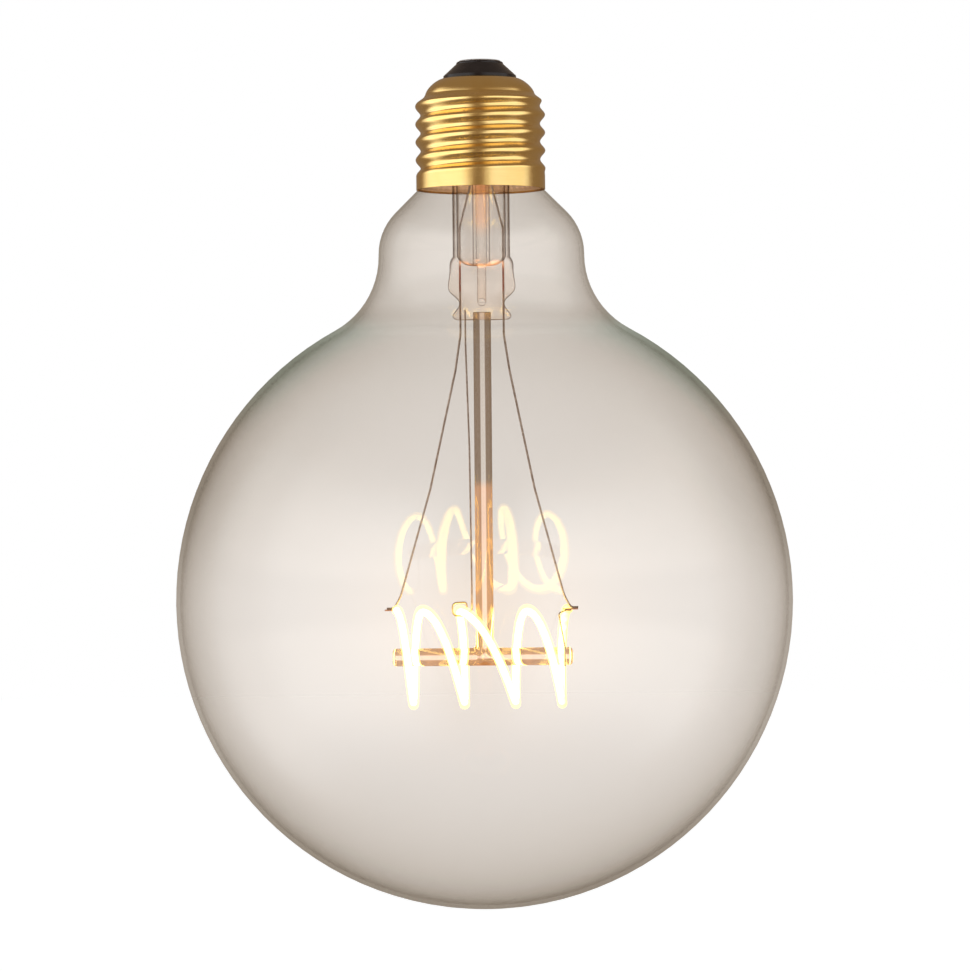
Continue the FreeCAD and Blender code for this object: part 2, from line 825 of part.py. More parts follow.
# Current wires: outer lead in the flare, seal wire in the press and inner lead down to the tab
def make_lead(side):
    """The three welded lengths of one current wire; the left one is behind the filament's end."""
    left = side == "left"
    way = "-1" if left else "1"
    column = f"({way} * lead_spacing / 2)"
    land = f"{way} * lead_land_side"
    tab_x = COIL_START if left else COIL_END
    lane = f"({way} * -tab_width / 2)"
    rest = f"({COIL_TOP} + tab_thickness / 2 + lead_diameter / 2)"
    knee = f"{PRESS_FOOT} - lead_knee_drop"
    rise = f"({column} + {way} * lead_knee_spread)"
    outer = bent_wire(
        f"outer_lead_{side}",
        "lead_diameter",
        "outer_lead_bend_radius",
        [
            (land, "-lead_land_reach", f"{BOARD_TOP} + lead_diameter / 2"),
            (land, "-lead_hole_forward", f"{BOARD_TOP} + lead_diameter / 2"),
            (land, "-lead_hole_forward", f"{SEAL} - lead_fan_start"),
            (column, "0", f"{SEAL} - lead_fan_end"),
            (column, "0", FLOOR),
        ],
    )
    seal = cylinder(
        f"seal_wire_{side}", "lead_diameter", "seal_wire_length", x=column, z=SEAL_WIRE_FOOT
    )
    inner = bent_wire(
        f"inner_lead_{side}",
        "lead_diameter",
        "lead_bend_radius",
        [
            (column, "0", SEAL_WIRE_FOOT),
            (column, "0", f"{PRESS_FOOT} - lead_press_exit"),
            (rise, "0", knee),
            (
                f"({rise} + {tab_x}) / 2 - {way} * lead_bow",
                f"{lane} / 2",
                f"({knee} + {rest}) / 2",
            ),
            (f"{tab_x} - {way} * lead_foot_back", lane, f"{rest} + lead_foot_rise"),
            (f"{tab_x} + {way} * lead_weld_start", lane, rest),
            (f"{tab_x} + {way} * lead_weld_end", lane, rest),
        ],
    )
    finish(outer, f"outer_lead_{side}")
    finish(seal, f"seal_wire_{side}")
    finish(inner, f"inner_lead_{side}")
    return [outer, seal, inner]


# Filament hook: a wire anchored in the press that holds the coil's second top
def make_filament_hook():
    loop_x = f"({SECOND_TOP} + hook_shift)"
    under = "(filament_diameter / 2 + hook_wire_diameter / 2 + wire_gap)"
    loop = f"({under} + hook_side_gap)"
    foot_x = "-(rod_diameter / 2 + hook_wire_diameter / 2 + hook_rod_gap)"
    hook = bent_wire(
        "filament_hook",
        "hook_wire_diameter",
        "hook_bend_radius",
        [
            ("-hook_anchor_side", "-hook_anchor_forward", f"{PRESS_FOOT} + hook_anchor"),
            ("-hook_anchor_side", "-hook_anchor_forward", f"{PRESS_FOOT} - hook_press_exit"),
            ("-hook_sway_side", "-hook_sway_forward", f"{PRESS_FOOT} - hook_sway_drop"),
            (foot_x, "-hook_foot_forward", f"{COIL_TOP} + hook_foot_rise"),
            (foot_x, "-hook_slant", f"{COIL_TOP} - hook_slant"),
            (f"{loop_x} + hook_under_side", "-hook_slant", f"{COIL_TOP} - {under} - hook_slant"),
            (f"{loop_x} - {loop}", "0", f"{COIL_TOP} - {under}"),
            (f"{loop_x} - {loop} - hook_slant", "hook_slant", f"{COIL_TOP} + {loop}"),
            (f"{loop_x} + {loop}", "hook_tail_forward", f"{COIL_TOP} + {loop} + hook_slant"),
            (f"{loop_x} + {loop} + hook_slant", "hook_tail_forward", f"{COIL_TOP} + hook_foot_forward"),
        ],
    )
    return finish(hook, "filament_hook")


# End tie: a thin wire from under the right tab, down the front of the bar and under it
def make_end_tie_wire():
    front = "(rod_diameter / 2 + tie_wire_diameter / 2)"
    under_tab = f"{COIL_TOP} - tab_thickness / 2 - tie_wire_diameter / 2"
    tie = bent_wire(
        "end_tie_wire",
        "tie_wire_diameter",
        "tie_bend_radius",
        [
            (f"{COIL_END} + tie_start", "-tie_forward", under_tab),
            (f"{COIL_END} - tie_start", "-tie_forward", under_tab),
            (f"{COIL_END} - tie_swing", "-tie_forward", f"{COIL_TOP} - tie_swing_drop"),
            (f"{COIL_END} - tie_waist", "-tie_waist_forward", f"{COIL_TOP} - tie_waist_drop"),
            (f"{COIL_END} - tie_bar_side", f"-{front}", f"{BAR_AXIS} + {front}"),
            (f"{COIL_END} - tie_bar_side", f"-{front}", f"{BAR_AXIS} - {front}"),
            (f"{COIL_END} - tie_bar_side", "tie_tail", f"{BAR_AXIS} - {front}"),
        ],
    )
    return finish(tie, "end_tie_wire")


# Driver board: a round board on the sealed edge of the glass, open in the middle for the stem
def make_driver_board():
    body = new_body("driver_board")
    disc = new_sketch(body, "board_outline", "XY_Plane", SEAL)
    draw_circle(disc, "0", "0", BOARD)
    draw_circle(disc, "0", "0", "board_hole_diameter")
    draw_circle(disc, "-capacitor_pin_pitch / 2", CAPACITOR_OFFSET, "pin_diameter")
    draw_circle(disc, "capacitor_pin_pitch / 2", CAPACITOR_OFFSET, "pin_diameter")
    draw_circle(disc, "fuse_across", "-fuse_forward", "pin_diameter")
    padded(body, "board", disc, "board_thickness")
    return finish(body, "driver_board")


def make_leaded_package(name, prefix, side, leg_count, leg_pitch, leg_width):
    """A moulded package whose bent legs stand on the board, one strip across for each pair of legs."""
    body = new_body(name)
    bind(body, "Placement.Base.x", f"{side} * {PACKAGE_OFFSET}")
    bind(body, "Placement.Base.z", BOARD_TOP)
    block = new_sketch(body, f"{name}_block", "XY_Plane", "package_standoff")
    half_width = f"{prefix}_width / 2"
    half_length = f"{prefix}_length / 2"
    draw_outline(
        block,
        [
            (f"-{half_width}", f"-{half_length}"),
            (half_width, f"-{half_length}"),
            (half_width, half_length),
            (f"-{half_width}", half_length),
        ],
    )
    padded(body, f"{name}_moulding", block, f"{prefix}_height")
    foot = f"{prefix}_reach / 2"
    bend = f"({foot} - leg_foot)"
    waist = f"(package_standoff + {prefix}_height / 2)"
    first = leg_pitch * (leg_count - 1) / 2
    strip = new_sketch(body, f"{name}_strip", "XZ_Plane", str(first))
    draw_outline(
        strip,
        [
            (f"-{foot}", "0"),
            (f"-{bend} + leg_thickness", "0"),
            (f"-{bend} + leg_thickness", waist),
            (f"{bend} - leg_thickness", waist),
            (f"{bend} - leg_thickness", "0"),
            (foot, "0"),
            (foot, "leg_thickness"),
            (bend, "leg_thickness"),
            (bend, f"{waist} + leg_thickness"),
            (f"-{bend}", f"{waist} + leg_thickness"),
            (f"-{bend}", "leg_thickness"),
            (f"-{foot}", "leg_thickness"),
        ],
    )
    legs = padded(body, f"{name}_legs", strip, str(leg_width), symmetric=True)
    row = body.newObject("PartDesign::LinearPattern", f"{name}_leg_row")
    row.Originals = [legs]
    row.Direction = (origin_feature(body, "Y_Axis"), [""])
    row.Length = leg_pitch * (leg_count - 1)
    row.Occurrences = leg_count
    body.Tip = row
    return finish(body, name)


# Smoothing capacitor: an upright can with its rolled bead and two pins through the board
def make_smoothing_capacitor():
    radius = "capacitor_diameter / 2"
    foot = "capacitor_foot_radius"
    edge = "capacitor_edge_radius"
    bead = f"({BOARD_TOP} + capacitor_height / 6)"
    top = f"({BOARD_TOP} + capacitor_height)"
    can = turned(
        "capacitor_can",
        [
            ("0", BOARD_TOP),
            (f"{radius} - {foot}", BOARD_TOP),
            (radius, f"{BOARD_TOP} + {foot}", foot),
            (radius, f"{bead} - {foot}"),
            (radius, f"{bead} + {foot}", f"-{edge}"),
            (radius, f"{top} - {edge}"),
            (f"{radius} - {edge}", top, edge),
            ("0", top),
        ],
    )
    bind(can, "Placement.Base.y", CAPACITOR_OFFSET)
    pins = [
        cylinder(
            f"capacitor_pin_{index + 1}", "pin_diameter", "board_thickness + pin_length",
            x=f"{way} * capacitor_pin_pitch / 2", y=CAPACITOR_OFFSET,
            z=f"{SEAL} - pin_length",
        )
        for index, way in enumerate(("-1", "1"))
    ]
    capacitor = doc.addObject("Part::MultiFuse", "smoothing_capacitor")
    capacitor.Shapes = [can] + pins
    return finish(capacitor, "smoothing_capacitor")


# Fuse resistor: an upright dipped body with a pin through the board
def make_fuse_resistor():
    radius = "fuse_diameter / 2"
    foot = f"({BOARD_TOP} + fuse_lift)"
    top = f"({foot} + fuse_length)"
    pin = "pin_diameter / 2"
    edge = "fuse_edge_radius"
    cap = "fuse_length / 4"
    waist = f"{radius} - fuse_waist_depth"
    fuse = turned(
        "fuse_resistor",
        [
            ("0", f"{SEAL} - pin_length"),
            (pin, f"{SEAL} - pin_length"),
            (pin, foot),
            (f"{radius} - {edge}", foot),
            (radius, f"{foot} + {edge}", edge),
            (radius, f"{foot} + {cap}"),
            (waist, f"{foot} + {cap} + fuse_waist_slope"),
            (waist, f"{top} - {cap} - fuse_waist_slope"),
            (radius, f"{top} - {cap}"),
            (radius, f"{top} - {edge}"),
            (f"{radius} - {edge}", top, edge),
            ("0", top),
        ],
    )
    bind(fuse, "Placement.Base.x", "fuse_across")
    bind(fuse, "Placement.Base.y", "-fuse_forward")
    return finish(fuse, "fuse_resistor")


# Live wire: from the fuse's top, over the exhaust tip and up into the contact's bore
def make_live_wire():
    fuse_top = f"({BOARD_TOP} + fuse_lift + fuse_length)"
    level = f"({fuse_top} + live_wire_rise)"
    live = bent_wire(
        "live_wire",
        "live_wire_diameter",
        "live_wire_bend_radius",
        [
            ("fuse_across", "-fuse_forward", fuse_top),
            ("fuse_across", "-fuse_forward", level),
            ("0", "0", level),
            ("0", "0", "-2 * contact_head"),
        ],
    )
    return finish(live, "live_wire")


# Neutral wire: from the board over the glass edge, down between the throat and the thread
def make_neutral_wire():
    lane = f"({THROAT} / 2 + wire_gap + neutral_wire_diameter / 2)"
    across = "-cos(neutral_wire_angle)"
    forward = "-sin(neutral_wire_angle)"
    level = f"({BOARD_TOP} + neutral_wire_diameter / 2)"
    neutral = bent_wire(
        "neutral_wire",
        "neutral_wire_diameter",
        "neutral_wire_bend_radius",
        [
            (f"{across} * neutral_wire_start", f"{forward} * neutral_wire_start", level),
            (f"{across} * {lane}", f"{forward} * {lane}", level),
            (f"{across} * {lane}", f"{forward} * {lane}", f"{CEMENT_TOP} + wire_gap"),
        ],
    )
    return finish(neutral, "neutral_wire")


# Cap cement: a ring between collar and glass, its underside moulded on the glass
def make_cap_cement(envelope):
    inner = f"{THROAT} / 2"
    outer = f"{COLLAR_BORE} / 2"
    foot = f"({RIM} + cement_inset)"
    blank = turned(
        "cement_blank",
        [
            (inner, foot),
            (outer, foot),
            (outer, CEMENT_TOP),
            (inner, CEMENT_TOP),
        ],
    )
    return finish(cut("cap_cement", blank, [envelope]), "cap_cement")


def build():
    fill_sheet()
    make_centre_contact()
    make_insulator()
    make_screw_shell()
    envelope = make_glass_envelope()
    make_cap_cement(envelope)
    make_exhaust_tube()
    make_cross_rod()
    make_support_rod()
    filament = make_led_filament()
    make_filament_tab("left", filament, COIL_START, "-tab_bite", "left_tab_shift")
    make_filament_tab("right", filament, COIL_END, "-tab_width", "right_tab_shift")
    wires = make_lead("left") + make_lead("right")
    wires.append(make_filament_hook())
    make_stem_flare(wires)
    make_end_tie_wire()
    make_driver_board()
    make_leaded_package(
        "driver_chip", "chip", "-1", CHIP_LEGS, CHIP_LEG_PITCH, CHIP_LEG_WIDTH
    )
    make_leaded_package(
        "rectifier", "rectifier", "1", RECTIFIER_LEGS, RECTIFIER_LEG_PITCH, RECTIFIER_LEG_WIDTH
    )
    make_smoothing_capacitor()
    make_fuse_resistor()
    make_live_wire()
    make_neutral_wire()
    doc.recompute()


def check():
    failed = [item.Name for item in doc.Objects if {"Invalid", "Error"} & set(item.State)]
    if failed:
        raise RuntimeError(f"objects that failed: {failed}")
    for item in parts:
        if item.Shape.isNull() or not item.Shape.isValid():
            raise RuntimeError(f"{item.Label} has no valid shape")


def write():
    os.makedirs("parts", exist_ok=True)
    for item in parts:
        item.Shape.exportStep(f"parts/{item.Label}.step")


build()
check()
write()
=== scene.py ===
import math

import bmesh
import bpy
from mathutils import Matrix, Vector


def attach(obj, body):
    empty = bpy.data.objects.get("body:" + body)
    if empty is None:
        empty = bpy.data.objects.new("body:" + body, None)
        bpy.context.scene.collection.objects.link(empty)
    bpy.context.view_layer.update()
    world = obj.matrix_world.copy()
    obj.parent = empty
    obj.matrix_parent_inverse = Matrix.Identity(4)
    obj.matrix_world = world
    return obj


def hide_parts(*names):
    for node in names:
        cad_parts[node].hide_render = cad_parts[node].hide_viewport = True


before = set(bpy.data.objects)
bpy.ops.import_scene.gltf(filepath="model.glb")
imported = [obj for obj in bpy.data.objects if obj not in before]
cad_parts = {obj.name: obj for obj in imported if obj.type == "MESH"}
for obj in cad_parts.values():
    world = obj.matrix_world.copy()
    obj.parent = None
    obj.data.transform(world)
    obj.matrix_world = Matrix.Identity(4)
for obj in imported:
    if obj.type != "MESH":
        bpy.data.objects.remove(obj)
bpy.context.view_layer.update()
scene = bpy.context.scene

# Metres, in the row's own frame: +Z into the lamp holder, -Y towards the camera
PICTURE_SIDE = 971
FOCAL_PIXELS = 3887
SENSOR = 36.0
CAMERA_PLACE = Vector((0.0003, -0.79, -0.0863))
CAMERA_ROLL = math.radians(-0.53)

# The filament's line: shares of the coil's length that each half turn advances
COIL_ADVANCES = (0.095, 0.054, 0.244, -0.043, 0.341, 0.069, 0.2, 0.04)
COIL_LENGTH = 0.0349
COIL_START = -0.0179
COIL_RADIUS = 0.0096
BAR_HEIGHT = -0.1211
STEPS_PER_HALF_TURN = 40
CORE_RADIUS = 0.00072

# The glass tee: support rod and cross bar, melted together
ROD_RADIUS = 0.00181
ROD_TOP = -0.05109
BAR_CENTRE = Vector((-0.00045, 0.0, BAR_HEIGHT))
BAR_HALF = 0.0183
BAR_EDGE = 0.0008
MELT = 0.0009
TEE_GRAIN = 0.00018

# Heights on the lamp that the glass's tones follow
GLOBE_MIDDLE = Vector((0.0, 0.0, -0.1095))
POLE = -0.17
COIL_SHADE_FOOT, COIL_SHADE_HEAD = -0.112, -0.084
SHOULDER_FOOT, SHOULDER_HEAD = -0.062, -0.05
NECK_FOOT = -0.0545
COLLAR_FOOT, COLLAR_HEAD = -0.04, -0.031
WELL_FLOOR = -0.0413
WELL_RADIUS = 0.0048

# What one thickness of the smoky coat lets through, and what its surface takes besides
COAT_RED, COAT_GREEN, COAT_BLUE = 0.93, 0.924, 0.914
COAT_GREEN_LOSS, COAT_BLUE_LOSS = 0.978, 0.963
LEAST_SLANT = 0.19

# Colours of the painted light that glass catches from the filament, given as an emission, and of
# the dark painted shade along its edges
CAUGHT_LIGHT = (1.0, 0.44, 0.17, 1.0)
EDGE_SHADE = (0.32, 0.23, 0.17, 1.0)


def feed(tree, socket, value):
    """A number, a colour or another node's output into a socket."""
    if isinstance(value, bpy.types.NodeSocket):
        tree.links.new(value, socket)
    else:
        socket.default_value = value


def add(tree, kind, inputs=None, **settings):
    """A new node with its settings and its inputs."""
    node = tree.nodes.new(kind)
    for name, setting in settings.items():
        setattr(node, name, setting)
    for name, value in (inputs or {}).items():
        feed(tree, node.inputs[name], value)
    return node


def blank_material(name):
    material = bpy.data.materials.new(name)
    material.use_nodes = True
    material.node_tree.nodes.clear()
    return material, material.node_tree


def close(tree, shader):
    add(tree, "ShaderNodeOutputMaterial", {"Surface": shader})


def place(tree):
    return add(tree, "ShaderNodeTexCoord").outputs["Object"]


def stretched(tree, where, scale):
    return add(tree, "ShaderNodeMapping", {"Vector": where, "Scale": scale}).outputs["Vector"]


def noise(tree, where, scale, detail=3.0, roughness=0.5):
    node = add(
        tree, "ShaderNodeTexNoise",
        {"Vector": where, "Scale": scale, "Detail": detail, "Roughness": roughness},
    )
    return node.outputs["Fac"]


def spread(tree, value, low, high, to_low, to_high, smooth=False):
    node = add(
        tree, "ShaderNodeMapRange",
        {"Value": value, "From Min": low, "From Max": high, "To Min": to_low, "To Max": to_high},
        interpolation_type="SMOOTHSTEP" if smooth else "LINEAR",
    )
    return node.outputs["Result"]


def maths(tree, operation, first, second=0.0):
    node = tree.nodes.new("ShaderNodeMath")
    node.operation = operation
    feed(tree, node.inputs[0], first)
    feed(tree, node.inputs[1], second)
    return node.outputs[0]


def times(tree, first, second):
    return maths(tree, "MULTIPLY", first, second)


def plus(tree, first, second):
    return maths(tree, "ADD", first, second)


def blended(tree, share, first, second):
    """One colour over to another."""
    node = tree.nodes.new("ShaderNodeMix")
    node.data_type = "RGBA"
    inputs = [socket for socket in node.inputs if socket.enabled]
    for socket, value in zip(inputs, (share, first, second)):
        feed(tree, socket, value)
    return next(socket for socket in node.outputs if socket.enabled)


def bump(tree, height, strength, distance):
    node = add(
        tree, "ShaderNodeBump", {"Height": height, "Strength": strength, "Distance": distance}
    )
    return node.outputs["Normal"]


def principled(tree, **inputs):
    names = {name.replace("_", " "): value for name, value in inputs.items()}
    return add(tree, "ShaderNodeBsdfPrincipled", names).outputs["BSDF"]


def gold_cap():
    """Satin gold plate on rolled sheet with fine turning marks."""
    material, tree = blank_material("gold_plate_satin")
    where = place(tree)
    blotch = noise(tree, where, 160.0, 4.0)
    grain = noise(tree, stretched(tree, where, (90.0, 90.0, 5200.0)), 1.0, 4.0, 0.6)
    colour = blended(
        tree, spread(tree, blotch, 0.35, 0.65, 0.0, 1.0),
        (0.93, 0.66, 0.27, 1.0), (0.9, 0.6, 0.21, 1.0),
    )
    shine = principled(
        tree,
        Base_Color=colour,
        Metallic=1.0,
        Roughness=spread(tree, grain, 0.3, 0.7, 0.14, 0.22),
        Normal=bump(tree, grain, 0.12, 0.0001),
    )
    close(tree, shine)
    return material


def glossy_black():
    """Black glass-like insulator: pressed, with a soft ripple."""
    material, tree = blank_material("black_insulator_gloss")
    where = place(tree)
    ripple = noise(tree, where, 420.0, 3.0)
    tone = blended(
        tree, noise(tree, where, 900.0, 5.0), (0.008, 0.006, 0.006, 1.0), (0.022, 0.016, 0.015, 1.0)
    )
    shine = principled(
        tree,
        Base_Color=tone,
        Roughness=spread(tree, ripple, 0.3, 0.7, 0.1, 0.2),
        Specular_IOR_Level=0.3,
        Normal=bump(tree, ripple, 0.15, 0.0002),
    )
    close(tree, shine)
    return material


def metal(name, light, dark, roughness, scale):
    """Plain worked metal with a mottled tone and a faint grain."""
    material, tree = blank_material(name)
    where = place(tree)
    mottle = noise(tree, where, scale, 5.0, 0.6)
    shine = principled(
        tree,
        Base_Color=blended(tree, spread(tree, mottle, 0.3, 0.7, 0.0, 1.0), light, dark),
        Metallic=1.0,
        Roughness=spread(tree, mottle, 0.3, 0.7, roughness - 0.07, roughness + 0.1),
        Normal=bump(tree, noise(tree, where, scale * 6.0, 3.0), 0.1, 0.00005),
    )
    close(tree, shine)
    return material


def matt(name, light, dark, roughness, scale, painted_glow_strength=0.0):
    """Moulded, dipped or cast stuff with a mottled tone and a fine tooth, and a painted glow where
    asked.
    """
    material, tree = blank_material(name)
    where = place(tree)
    mottle = noise(tree, where, scale, 4.0)
    shine = principled(
        tree,
        Base_Color=blended(tree, spread(tree, mottle, 0.3, 0.7, 0.0, 1.0), light, dark),
        Roughness=spread(tree, mottle, 0.3, 0.7, roughness - 0.08, roughness + 0.08),
        # Painted glow: emission in the light tone, as strong as asked
        Emission_Color=light,
        Emission_Strength=painted_glow_strength,
        Normal=bump(tree, noise(tree, where, scale * 5.0, 4.0), 0.2, 0.00008),
    )
    close(tree, shine)
    return material


def height_of(tree, where):
    return add(tree, "ShaderNodeSeparateXYZ", {"Vector": where}).outputs["Z"]


def facing_of(tree):
    """0 where a surface is seen straight on, 1 where it is seen edge on."""
    return add(tree, "ShaderNodeLayerWeight", {"Blend": 0.5}).outputs["Facing"]


def glow_of(tree, colour, strength):
    inputs = {"Color": colour, "Strength": strength}
    return add(tree, "ShaderNodeEmission", inputs).outputs["Emission"]


def transparent(tree, colour):
    return add(tree, "ShaderNodeBsdfTransparent", {"Color": colour}).outputs["BSDF"]


def both(tree, first, second):
    return add(tree, "ShaderNodeAddShader", {0: first, 1: second}).outputs["Shader"]


def either(tree, share, first, second):
    inputs = {0: share, 1: first, 2: second}
    return add(tree, "ShaderNodeMixShader", inputs).outputs["Shader"]


def coat_depth(tree, where):
    """The coat is thicker on the globe's shoulder, at the top of the neck and at the pole."""
    height = height_of(tree, where)
    rise = spread(tree, height, COIL_SHADE_FOOT, COIL_SHADE_HEAD, 0.0, 0.62, smooth=True)
    fade = spread(tree, height, SHOULDER_FOOT, SHOULDER_HEAD, 1.0, 0.1, smooth=True)
    collar = spread(tree, height, COLLAR_FOOT, COLLAR_HEAD, 0.0, 0.15, smooth=True)
    pole = spread(tree, height, POLE, POLE + 0.04, 0.55, 0.0, smooth=True)
    return plus(tree, plus(tree, times(tree, rise, fade), collar), plus(tree, pole, 1.0))


def neck_veil(tree, where):
    """An even veil on the neck, with a denser ring where the neck runs into the globe."""
    height = height_of(tree, where)
    neck = spread(tree, height, NECK_FOOT, NECK_FOOT + 0.003, 0.0, 1.05, smooth=True)
    ring_foot = spread(tree, height, NECK_FOOT, NECK_FOOT + 0.0023, 0.0, 0.55, smooth=True)
    ring_head = spread(tree, height, NECK_FOOT + 0.0031, NECK_FOOT + 0.0053, 1.0, 0.0, smooth=True)
    return plus(tree, neck, times(tree, ring_foot, ring_head))


def green_sheen(tree, where, slant):
    """Below the neck the coat has a green cast where it is seen edge on."""
    height = height_of(tree, where)
    foot = spread(tree, height, SHOULDER_FOOT - 0.016, SHOULDER_FOOT, 0.0, 1.0, smooth=True)
    head = spread(tree, height, SHOULDER_HEAD - 0.006, SHOULDER_HEAD, 1.0, 0.0, smooth=True)
    edge = spread(tree, slant, 0.12, 0.5, 1.5, 0.0, smooth=True)
    return times(tree, times(tree, foot, head), edge)


def coat_haze_glow(tree, where, slant):
    """Painted glow: the hazy coat's faint warm light from the coil, seen where one looks through it
    towards the glowing coil.
    """
    height = height_of(tree, where)
    above = spread(tree, height, COIL_SHADE_FOOT, COIL_SHADE_HEAD - 0.004, 1.0, 0.0, smooth=True)
    below = spread(tree, height, -0.152, -0.136, 0.0, 1.0, smooth=True)
    ahead = maths(tree, "POWER", maths(tree, "MAXIMUM", slant, 0.0), 13.0)
    return times(tree, times(tree, above, below), times(tree, ahead, 0.06))


def mirrored_over(tree, where, facing, clear):
    """Thin glass's own reflection, stronger at a slant, over what is seen through it."""
    wave = bump(tree, noise(tree, where, 30.0, 2.0), 0.04, 0.001)
    mirror = add(
        tree, "ShaderNodeBsdfGlossy",
        {"Color": (1.0, 0.97, 0.93, 1.0), "Roughness": 0.015, "Normal": wave},
    ).outputs["BSDF"]
    rim = times(tree, maths(tree, "POWER", facing, 4.0), 0.1)
    return either(tree, plus(tree, rim, 0.026), clear, mirror)


def inner_skin():
    """The bare inside of the blown glass."""
    material, tree = blank_material("blown_glass_inside")
    where = place(tree)
    facing = facing_of(tree)
    faint = blended(
        tree, noise(tree, where, 60.0), (0.995, 0.99, 0.985, 1.0), (1.0, 1.0, 1.0, 1.0)
    )
    close(tree, mirrored_over(tree, where, facing, transparent(tree, faint)))
    return material


def outer_skin():
    """The outside with its warm smoky coat: it darkens where the wall is seen edge on."""
    material, tree = blank_material("smoky_glass_coated")
    where = place(tree)
    facing = facing_of(tree)
    slant = maths(tree, "SUBTRACT", 1.0, facing)
    path = maths(tree, "DIVIDE", 1.0, maths(tree, "MAXIMUM", slant, LEAST_SLANT))
    cloud = spread(tree, noise(tree, where, 14.0, 2.0), 0.3, 0.7, 0.94, 1.06)
    slanted = times(tree, times(tree, path, cloud), coat_depth(tree, where))
    depth = plus(tree, slanted, neck_veil(tree, where))
    red_depth = plus(tree, depth, green_sheen(tree, where, slant))
    tint = add(
        tree, "ShaderNodeCombineColor",
        {
            "Red": maths(tree, "POWER", COAT_RED, red_depth),
            "Green": times(tree, maths(tree, "POWER", COAT_GREEN, depth), COAT_GREEN_LOSS),
            "Blue": times(tree, maths(tree, "POWER", COAT_BLUE, depth), COAT_BLUE_LOSS),
        },
    ).outputs["Color"]
    # A painted glow of emission lies over the coat's tint
    painted_haze_glow = glow_of(tree, (1.0, 0.5, 0.04, 1.0), coat_haze_glow(tree, where, slant))
    clear = both(tree, transparent(tree, tint), painted_haze_glow)
    close(tree, mirrored_over(tree, where, facing, clear))
    return material


def floor_glints(tree, where):
    """Orange glints on the floor of the stem's well."""
    height = height_of(tree, where)
    ring = times(
        tree,
        spread(tree, height, WELL_FLOOR - 0.0009, WELL_FLOOR - 0.0003, 0.0, 1.0),
        spread(tree, height, WELL_FLOOR + 0.0003, WELL_FLOOR + 0.0009, 1.0, 0.0),
    )
    level = add(
        tree, "ShaderNodeVectorMath", {0: where, 1: (1.0, 1.0, 0.0)}, operation="MULTIPLY"
    ).outputs["Vector"]
    off_axis = add(
        tree, "ShaderNodeVectorMath", {0: level}, operation="LENGTH"
    ).outputs["Value"]
    within = spread(tree, off_axis, WELL_RADIUS, WELL_RADIUS + 0.0003, 1.0, 0.0)
    spots = spread(tree, noise(tree, where, 420.0, 2.0), 0.45, 0.6, 0.06, 0.9)
    return times(tree, ring, times(tree, within, spots))


def clear_glass(name, unlit_height, brightest_height, painted_light_tint, painted_glow, straightness=0.0, glints=False):
    """Drawn and fire-polished glass with painted light: a warmer tint and an emission glow, growing
    from the unlit height to the brightest one.
    """
    material, tree = blank_material(name)
    where = place(tree)
    draw = noise(tree, stretched(tree, where, (500.0, 500.0, 60.0)), 1.0, 2.0)
    plain = blended(
        tree, noise(tree, where, 120.0, 2.0), (0.96, 0.91, 0.86, 1.0), (0.98, 0.94, 0.9, 1.0)
    )
    # warm: the share of painted light, full at the brightest height and none at the unlit one
    warm = spread(tree, height_of(tree, where), brightest_height, unlit_height, 1.0, 0.0, smooth=True)
    shine = principled(
        tree,
        Base_Color=blended(tree, warm, plain, painted_light_tint),
        Roughness=0.0,
        IOR=1.5,
        Transmission_Weight=1.0,
        Normal=bump(tree, draw, 0.08, 0.0002),
    )
    # Painted glow: an emission in streaks, standing in for the light the glass catches
    glow_streaks = noise(tree, stretched(tree, where, (900.0, 900.0, 40.0)), 1.0, 2.0)
    strength = times(tree, warm, spread(tree, glow_streaks, 0.3, 0.7, 0.6 * painted_glow, 1.4 * painted_glow))
    if glints:
        strength = plus(tree, strength, floor_glints(tree, where))
    glow = glow_of(tree, CAUGHT_LIGHT, strength)
    # Painted shade: seen edge on, the glass lets through the dark edge colour instead of its clear
    # tint
    edge_shade = spread(tree, facing_of(tree), 0.45, 0.9, 0.0, 1.0, smooth=True)
    thin = blended(tree, warm, (0.99, 0.984, 0.978, 1.0), painted_light_tint)
    edged = transparent(tree, blended(tree, edge_shade, thin, EDGE_SHADE))
    close(tree, both(tree, either(tree, straightness, shine, edged), glow))
    return material


def strength_along(tree):
    """The glow falls off at the coil's right-hand end."""
    split = add(tree, "ShaderNodeSeparateXYZ", {"Vector": place(tree)})
    return spread(tree, split.outputs["X"], 0.0152, 0.0172, 1.0, 0.35, smooth=True)


def phosphor_coat():
    """Translucent yellow silicone over the glowing core."""
    material, tree = blank_material("phosphor_coat_lit")
    where = place(tree)
    mottle = noise(tree, where, 900.0, 3.0)
    along = strength_along(tree)
    strength = times(tree, along, spread(tree, mottle, 0.3, 0.7, 1.3, 1.8))
    glow = glow_of(tree, (1.0, 0.77, 0.19, 1.0), strength)
    close(tree, both(tree, glow, transparent(tree, (0.98, 0.86, 0.6, 1.0))))
    return material


def filament_core():
    """The row of chips, too bright to tell apart."""
    material, tree = blank_material("filament_core_lit")
    chips = noise(tree, place(tree), 700.0, 1.0)
    strength = times(tree, strength_along(tree), spread(tree, chips, 0.3, 0.7, 7.0, 11.0))
    close(tree, glow_of(tree, (1.0, 0.8, 0.22, 1.0), strength))
    return material


